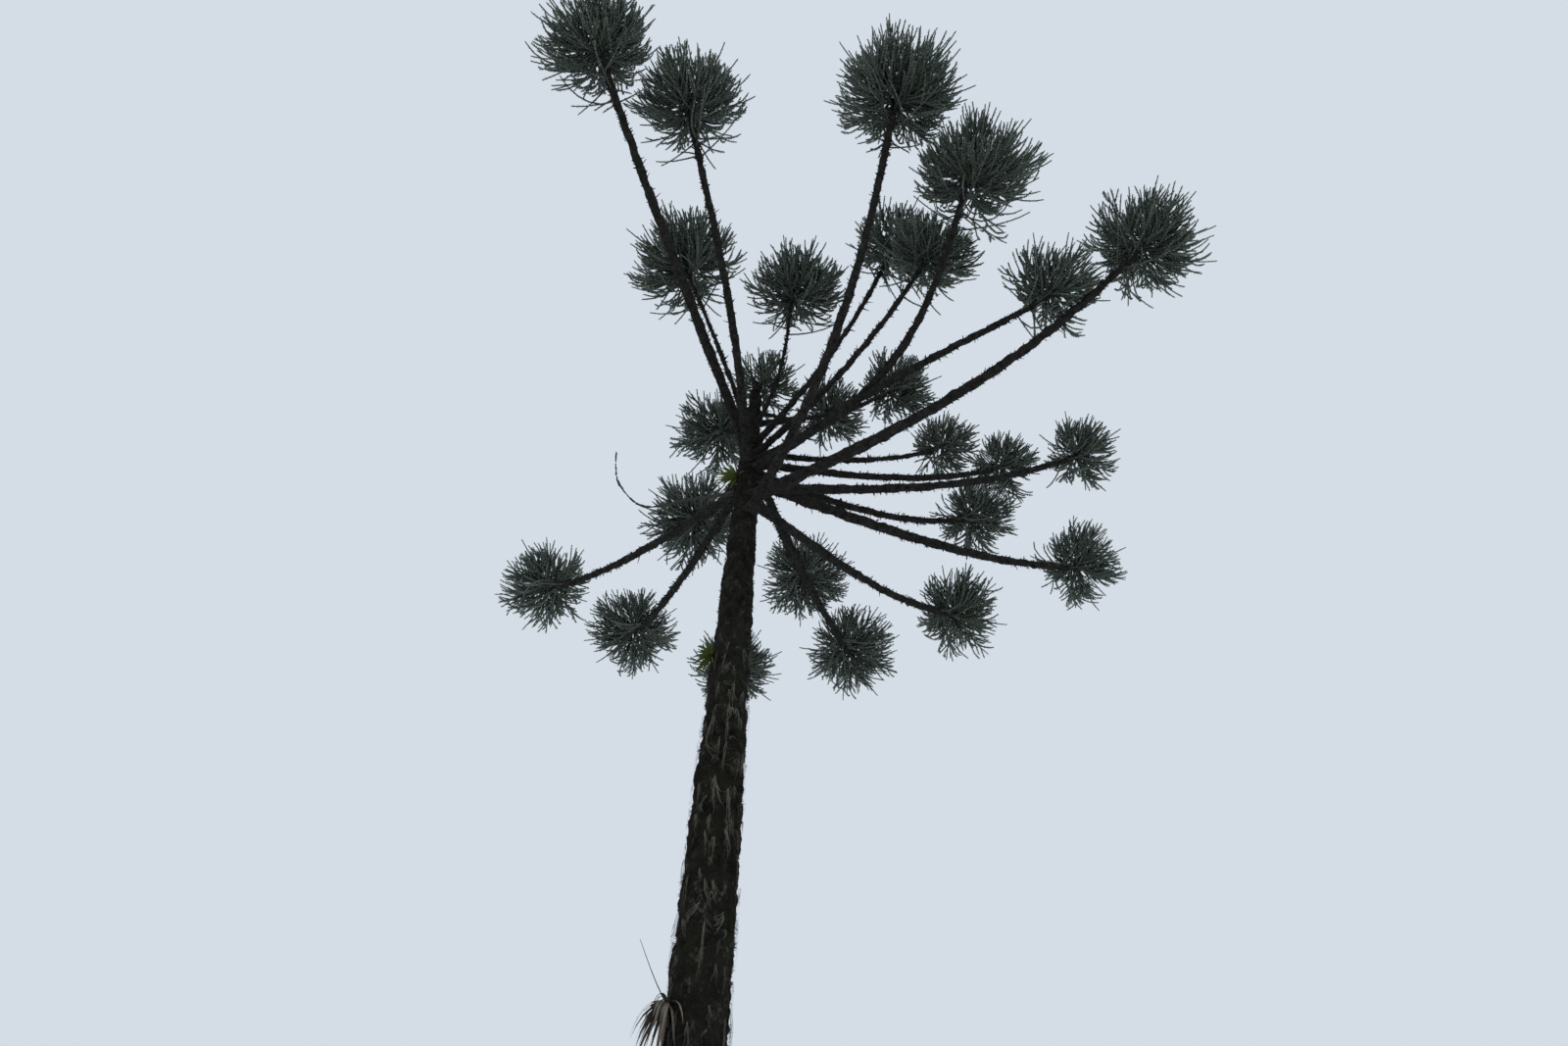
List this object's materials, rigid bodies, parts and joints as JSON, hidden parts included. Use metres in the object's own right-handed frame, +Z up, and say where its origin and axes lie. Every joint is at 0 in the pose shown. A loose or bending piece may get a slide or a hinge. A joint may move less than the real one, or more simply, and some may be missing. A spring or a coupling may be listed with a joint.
{
  "type": "monkey puzzle tree, candelabra form",
  "caption": "Tall candelabra monkey puzzle tree: a bare straight trunk, bare upswept boughs fanning from its top, and a round needled tuft on the end of each.",
  "frame": {"origin": "middle of the trunk's flat cut at ground level", "axes": "+Z up the tree; the trunk leans slightly toward +X; -Y is the side that the picture was taken from"},
  "size_m": [12.2383, 13.7959, 22.736],
  "materials": {
    "trunk_bark": "rough flaking bark with hanging pale lichen",
    "bough_bark": "rough knobbly bark",
    "dead_wood": "dry weathered wood",
    "needles": "stiff dark green needles, satin"
  },
  "bodies": {
    "root": {"trunk": "trunk_bark", "bough_near_left": "bough_bark", "bough_near": "bough_bark", "bough_near_inner": "bough_bark", "bough_top_near": "bough_bark", "bough_near_right": "bough_bark", "bough_right_near": "bough_bark", "bough_mid_a": "bough_bark", "bough_mid_b": "bough_bark", "bough_right_long": "bough_bark", "bough_right_a": "bough_bark", "bough_right_b": "bough_bark", "bough_right_c": "bough_bark", "bough_right_d": "bough_bark", "bough_right_e": "bough_bark", "bough_right_f": "bough_bark", "bough_far_right_a": "bough_bark", "bough_far_right_b": "bough_bark", "bough_far_a": "bough_bark", "bough_far_b": "bough_bark", "bough_far_in": "bough_bark", "bough_far_left_a": "bough_bark", "bough_far_left_b": "bough_bark", "bough_far_left_in": "bough_bark", "bough_top_left": "bough_bark", "bough_top_right": "bough_bark", "dead_branch": "dead_wood", "foliage_near_left": "needles", "foliage_near": "needles", "foliage_near_inner": "needles", "foliage_top_near": "needles", "foliage_near_right": "needles", "foliage_right_near": "needles", "foliage_mid_a": "needles", "foliage_mid_b": "needles", "foliage_right_long": "needles", "foliage_right_a": "needles", "foliage_right_b": "needles", "foliage_right_c": "needles", "foliage_right_d": "needles", "foliage_right_e": "needles", "foliage_right_f": "needles", "foliage_far_right_a": "needles", "foliage_far_right_b": "needles", "foliage_far_a": "needles", "foliage_far_b": "needles", "foliage_far_in": "needles", "foliage_far_left_a": "needles", "foliage_far_left_b": "needles", "foliage_far_left_in": "needles", "foliage_top_left": "needles", "foliage_top_right": "needles", "foliage_leader": "needles"}
  },
  "joints": []
}
